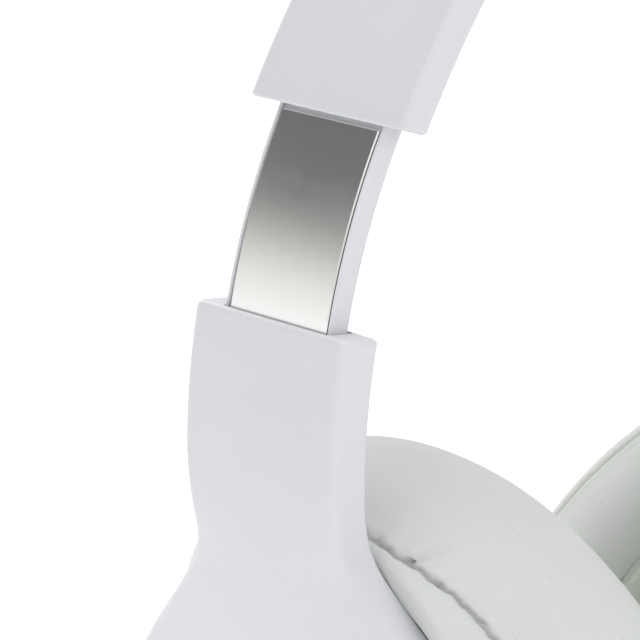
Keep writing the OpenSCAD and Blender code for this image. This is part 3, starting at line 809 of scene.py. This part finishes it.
def cushion_detail(R, seed):
    """Adds what is sewn: the puckered back seam, the face seam, the lining's seam and the gathers beside them, and a
    map of painted shade along the seams.
    """
    n = grid_normals(R)
    centre = R.mean(1, keepdims=True)
    if ((R - centre) * n).sum() < 0:
        n = -n
    m, k = R.shape[:2]
    length = np.linalg.norm(np.roll(R, -1, 0) - R, axis=2)[:, SEAM_B * FS].sum()
    x = np.arange(m) * length / m
    step = np.linalg.norm(np.roll(R, -1, 1) - R, axis=2).mean(0)
    s = np.concatenate([[0], np.cumsum(step)])[:k]
    out = R.copy()

    def dist(row, wob):
        return s[None, :] - (s[row * FS] + wob[:, None])
    # back seam: a wavering crease, with gathers that fade up the wall
    wob = 0.42 * wave1(x, length, seed, 4, 9) + 0.16 * wave1(x, length, seed + 1, 3, 60)
    d = dist(SEAM_B, wob)
    depth = 1.0 + 0.25 * wave1(x, length, seed + 2, 3, 14)
    disp = -0.50 * depth[:, None] * np.exp(-(d / 0.26) ** 2)
    # painted shade: how much the leather is darkened in each seam's crease
    crease_shade = 0.60 * np.exp(-(d / 0.26) ** 2)
    up = np.where(d > 0, 1.0, 0.0)
    g1 = wave1(x, length, seed + 3, 3, 34, 0.8)
    g2 = wave1(x, length, seed + 4, 3, 78, 0.8)
    amount = 0.55 + 0.45 * wave1(x, length, seed + 5, 2, 5)
    # gathers lean a little as they go up
    for g, amp, reach, ln in ((g1, 0.42, 3.4, 0.25), (g2, 0.30, 2.4, -0.15)):
        xi = (x[:, None] + ln * np.clip(d, 0, 20))
        val = np.interp(xi.ravel() % length, np.append(x, length), np.append(g, g[0])).reshape(xi.shape)
        disp += amp * np.clip(amount, 0.15, 1.3)[:, None] * val * up * np.exp(-np.clip(d, 0, None) / reach) * (1 - np.exp(-(d / 0.5) ** 2))
    # a plump lip on both sides of the crease
    disp += 0.10 * np.exp(-((d - 1.0) / 0.7) ** 2) + 0.10 * np.exp(-((d + 0.9) / 0.6) ** 2)
    # face seam: a narrow welt line
    wob = 0.10 * wave1(x, length, seed + 6, 3, 12)
    d = dist(SEAM_F, wob)
    crease_shade = np.maximum(crease_shade, 0.35 * np.exp(-(d / 0.3) ** 2))
    disp += -0.42 * np.exp(-(d / 0.34) ** 2) + 0.16 * np.exp(-((np.abs(d) - 0.85) / 0.5) ** 2)
    # lining seam
    wob = 0.22 * wave1(x, length, seed + 7, 3, 10)
    d = dist(SEAM_I, wob)
    g3 = wave1(x, length, seed + 8, 3, 30, 0.8)
    crease_shade = np.maximum(crease_shade, 0.8 * np.exp(-(d / 0.35) ** 2))
    disp += -0.8 * np.exp(-(d / 0.5) ** 2) + 0.12 * g3[:, None] * np.exp(-np.abs(d) / 3.0)
    # soft unevenness of the foam
    g4 = wave1(x, length, seed + 9, 2, 4)
    rows = np.sin(np.linspace(0, 2 * math.pi, k) * 2 + 0.7)
    disp += 0.16 * g4[:, None] * rows[None, :] * (np.abs(d) > 0)
    out += n * disp[:, :, None]
    CREASE_SHADE[seed] = crease_shade
    return out


def fold(R, t0, strength, reach, width):
    """One deeper fold that runs up from the back seam at angle t0."""
    n = grid_normals(R)
    if ((R - R.mean(1, keepdims=True)) * n).sum() < 0:
        n = -n
    m, k = R.shape[:2]
    tt = np.arange(m) * 2 * math.pi / m
    step = np.linalg.norm(np.roll(R, -1, 1) - R, axis=2).mean(0)
    s = np.concatenate([[0], np.cumsum(step)])[:k]
    d = s - s[SEAM_B * FS]
    dx = ((tt - t0 + math.pi) % (2 * math.pi) - math.pi) * 46.0
    up = (d > -0.2) & (d < reach * 2.5)
    f = -strength * np.exp(-((dx[:, None] - 0.35 * d[None, :]) / (width * (1 + 0.10 * np.clip(d, 0, 20))[None, :])) ** 2) * np.exp(-(np.clip(d, 0, None) / reach) ** 1.5)[None, :] * up[None, :]
    return R + n * f[:, :, None]


def face_materials(m, k, split):
    """Material index per face of an m by k closed grid: 1 for the lining."""
    lo = SEAM_I * FS
    idx = np.zeros((m, k), int)
    idx[:, lo:] = 1
    return idx.ravel()


for side, body, seed in (("left", "left_cup", 11), ("right", "right_cup", 47)):
    R = cushion_detail(fine, seed)
    for t0, st, reach, width in ((3.473, 0.95, 3.2, 0.5), (3.363, 0.4, 2.6, 0.4), (3.573, 0.45, 2.4, 0.4), (3.713, 0.3, 3.0, 0.6), (4.25, 0.3, 3.4, 0.6), (5.4, 0.35, 3.8, 0.7), (0.7, 0.3, 3.4, 0.6), (1.9, 0.4, 3.8, 0.7), (2.6, 0.3, 3.0, 0.6)):
        R = fold(R, t0, st, reach, width)
    W = cup_all(R)
    V, F, uv = grid(W, close_v=True)
    if side == "right":
        V = mirror_pts(V)
    o = make_object(f"{side}_cushion_cover", V, F, body, uv, [LEATHER, LINING], face_materials(*R.shape[:2], 0), sharp=0)
    fix_normals(o)
    # the seams' painted shade, for the leather material
    o.data.attributes.new("crease_shade", "FLOAT", "POINT").data.foreach_set("value", CREASE_SHADE[seed].astype(np.float32).ravel())
    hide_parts(f"{side}_ear_cushion")

# the cloth screen inside each cushion, slightly domed
rings = []
for q in np.linspace(0.02, 1, 16):
    rings.append([cup(30.6 * q * math.cos(t), 24.6 * q * math.sin(t), 7.0 + 1.0 * (1 - q * q)) for t in np.linspace(0, 2 * math.pi, 72, endpoint=False)])
for z in (6.9, 6.4):
    rings.append([cup(30.6 * math.cos(t), 24.6 * math.sin(t), z) for t in np.linspace(0, 2 * math.pi, 72, endpoint=False)])
both("screen_cloth_disc", rings, ("left_cup", "right_cup"), [SCREEN], (["left_cushion_screen"], ["right_cushion_screen"]))

# ------------------------------------------------------------------ headband pad
def pad_rings(nt, ns):
    e0 = 42.0
    T_ = np.linspace(-1, 1, nt)
    out = []
    for q in T_:
        e = 90 + q * (90 - e0)
        endq = (1 - abs(q)) * rad(90 - e0) * (R2 - 8)           # distance from the end
        f = 1.0 if endq > 7 else math.sqrt(max(0.0, 1 - ((7 - endq) / 7) ** 2)) * 0.97 + 0.03
        w = (BAND_W - 1) / 2 * (0.80 + 0.20 * f)
        top, bot = BAND_T + 0.2, BAND_T + PAD_T - 0.55
        mid_, hh = (top + bot) / 2, (bot - top) / 2
        ring = []
        for a in np.linspace(0, 2 * math.pi, ns, endpoint=False):
            cx = np.sign(math.cos(a)) * abs(math.cos(a)) ** 0.55
            cz = np.sign(math.sin(a)) * abs(math.sin(a)) ** 0.62
            d = top + (mid_ - top) * f * 1.0 + hh * f * cz if f < 1 else mid_ + hh * cz
            e_ = e
            ring.append((C2[0] - (R2 - d) * co(e_), w * cx, C2[1] + (R2 - d) * si(e_)))
        out.append(ring)
    return np.array(out)


NPT, NPS = 110, 44
pr = pad_rings(NPT, NPS)
pinp = np.zeros((NPT, NPS))
pinp[0], pinp[-1] = 1, 1
for s in range(NPS):
    a = 2 * math.pi * s / NPS
    if math.sin(a) < -0.55:
        pinp[:, s] = 1.0                                           # the side against the headband
    if abs(math.cos(a)) > 0.985:
        pinp[:, s] = 0.8                                           # side seams
for j in (18, 37, 55, 73, 92):
    pinp[j, :] = np.maximum(pinp[j, :], 0.75)                      # sewn channels
ps = inflate(pr, pinp, 3.0, -0.02, 0.7, close_v=False)
# sewn channels pressed in after it
cen = ps.mean(1, keepdims=True)
dirn = ps - cen
dirn /= np.maximum(np.linalg.norm(dirn, axis=2, keepdims=True), 1e-6)
jj = np.arange(NPT)[:, None]
ii = np.arange(NPS)[None, :]
groove = sum(np.exp(-((jj - j) / 0.8) ** 2) for j in (18, 37, 55, 73, 92)) * (np.sin(2 * math.pi * ii / NPS) > -0.2)
ps = ps - dirn * (0.55 * groove)[:, :, None]
V, F, uv = grid(ps)
pad = make_object("headband_pad_cover", V, F, "headband", uv, [LEATHER], sharp=0)
fix_normals(pad)
sub = pad.modifiers.new("sub", "SUBSURF")
sub.levels = sub.render_levels = 1
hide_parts("headband_pad")

# ------------------------------------------------------------------ CAD nodes that stay: their materials
FINISH = {"headband_inner_cover": WHITE, "headband_spring": SPRING, "headband_screws": SCREW, "slider_stop": DARK, "arm_cover": WHITE, "detent_spring": SPRING,
          "pivot_pins": SCREW, "inner_housing": WHITE, "baffle_screws": SCREW, "baffle": DARK, "driver_frame": DARK, "driver_magnet": MAGNET, "driver_diaphragm": FILM,
          "driver_grille": DARK, "terminal_board": BOARD, "cushion_ring": DARK, "jack_socket": DARK}
for name, o in NODES.items():
    if o.hide_render:
        continue
    key = next((k for k in sorted(FINISH, key=len, reverse=True) if name.endswith(k)), None)
    if key:
        for s_ in o.material_slots:
            s_.material = FINISH[key]
        if not o.material_slots:
            o.data.materials.append(FINISH[key])

# ------------------------------------------------------------------ floor, light and camera
low = min(p[2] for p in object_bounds())
bpy.ops.mesh.primitive_plane_add(size=14, location=(0, 0, low - 0.0006))
floor = bpy.context.object
floor.name = "floor"
fm, nt, bs = new_mat("floor_paper")
bs.inputs["Base Color"].default_value = (0.80, 0.80, 0.80, 1)
bs.inputs["Roughness"].default_value = 0.9
bs.inputs["Emission Color"].default_value = (1, 1, 1, 1)
bs.inputs["Emission Strength"].default_value = 0.45
bump(nt, bs, noise(nt, coords(nt), 900, 2), 0.05, 0.02 * MM)
floor.data.materials.append(fm)
floor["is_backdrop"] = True

world = bpy.data.worlds.new("studio")
bpy.context.scene.world = world
world.use_nodes = True
nt = world.node_tree
nt.nodes.clear()
wo = nt.nodes.new("ShaderNodeOutputWorld")
bg = nt.nodes.new("ShaderNodeBackground")
tc = nt.nodes.new("ShaderNodeTexCoord")
sep = nt.nodes.new("ShaderNodeSeparateXYZ")
nt.links.new(tc.outputs["Generated"], sep.inputs[0])
dot = nt.nodes.new("ShaderNodeVectorMath")
dot.operation = "DOT_PRODUCT"
nt.links.new(tc.outputs["Generated"], dot.inputs[0])
dot.inputs[1].default_value = (-0.70, 0.714, 0.0)


def srange(val, a, b):
    n = nt.nodes.new("ShaderNodeMapRange")
    n.interpolation_type = "SMOOTHSTEP"
    nt.links.new(val, n.inputs[0])
    n.inputs[1].default_value, n.inputs[2].default_value = a, b
    return n.outputs[0]


rise = srange(sep.outputs[2], -0.05, 0.25)
side_m = srange(dot.outputs["Value"], 0.30, 0.72)
mask = math_n(nt, "MULTIPLY", rise, side_m)
# a dark wall high on one side, for the metal to reflect; a paler ceiling elsewhere
pale = mix_col(nt, side_m, (0.79, 0.79, 0.80), (1.06, 1.06, 1.04))
col_n = nt.nodes.new("ShaderNodeMix")
col_n.data_type = "RGBA"
nt.links.new(mask, col_n.inputs[0])
nt.links.new(pale, col_n.inputs[6])
col_n.inputs[7].default_value = (0.150, 0.153, 0.151, 1)
dot2 = nt.nodes.new("ShaderNodeVectorMath")
dot2.operation = "DOT_PRODUCT"
nt.links.new(tc.outputs["Generated"], dot2.inputs[0])
dot2.inputs[1].default_value = (0.25, -0.968, 0.0)
col_m = nt.nodes.new("ShaderNodeMix")
col_m.data_type = "RGBA"
nt.links.new(srange(dot2.outputs["Value"], 0.0, 0.8), col_m.inputs[0])
nt.links.new(col_n.outputs[2], col_m.inputs[6])
col_m.inputs[7].default_value = (0.62, 0.62, 0.645, 1)
col = col_m.outputs[2]
lp = nt.nodes.new("ShaderNodeLightPath")
cam_mix = nt.nodes.new("ShaderNodeMix")
cam_mix.data_type = "RGBA"
nt.links.new(lp.outputs["Is Camera Ray"], cam_mix.inputs[0])
nt.links.new(col, cam_mix.inputs[6])
cam_mix.inputs[7].default_value = (1.02, 1.02, 1.02, 1)
nt.links.new(cam_mix.outputs[2], bg.inputs[0])
nt.links.new(bg.outputs[0], wo.inputs[0])


def area(name, loc, target, size, power, color=(1, 1, 1)):
    l = bpy.data.lights.new(name, "AREA")
    l.shape = "RECTANGLE"
    l.size, l.size_y = size
    l.energy = power
    l.color = color
    o = bpy.data.objects.new(name, l)
    bpy.context.scene.collection.objects.link(o)
    o.location = loc
    o.rotation_euler = (Vector(target) - Vector(loc)).to_track_quat("-Z", "Y").to_euler()
    return o


area("key", (0.30, -1.30, 0.55), (0, 0, -0.08), (1.2, 1.0), 4.3, (0.97, 0.98, 1.0))
area("fill", (-1.35, 0.10, 0.70), (-0.03, 0, -0.08), (1.0, 1.0), 2.3)
area("top", (-0.25, 0.10, 1.35), (0, 0, -0.08), (1.4, 1.4), 12.5)

area("inner", (-0.03, 0.10, -0.02), (0.045, 0.02, -0.12), (0.10, 0.10), 0.05).visible_camera = False

cam_d = bpy.data.cameras.new("camera")
cam_d.sensor_width = 36.0
cam_d.sensor_fit = "HORIZONTAL"
cam_d.lens = 205.3
cam_d.clip_start, cam_d.clip_end = 0.01, 50
cam = bpy.data.objects.new("camera", cam_d)
bpy.context.scene.collection.objects.link(cam)
f = Vector((0.7208, 0.6630, -0.2019)).normalized()
r = Vector((0.688, -0.719, 0.0953))
r = (r - f * r.dot(f)).normalized()
u = r.cross(f)
# a small turn that settles the picture's centre
px = 1.0 / 3649.86
f2 = (f - u * (0.6 * px) + r * (0.5 * px)).normalized()
r2 = (r - f2 * r.dot(f2)).normalized()
u2 = r2.cross(f2)
M = Matrix(((r2.x, u2.x, -f2.x), (r2.y, u2.y, -f2.y), (r2.z, u2.z, -f2.z))).to_4x4()
pos = Vector((-HALF_W - 282.8, -267.2, -DROP + 98.7)) * MM
cam.matrix_world = Matrix.Translation(pos) @ M
bpy.context.scene.camera = cam
bpy.context.scene.view_settings.view_transform = "Standard"
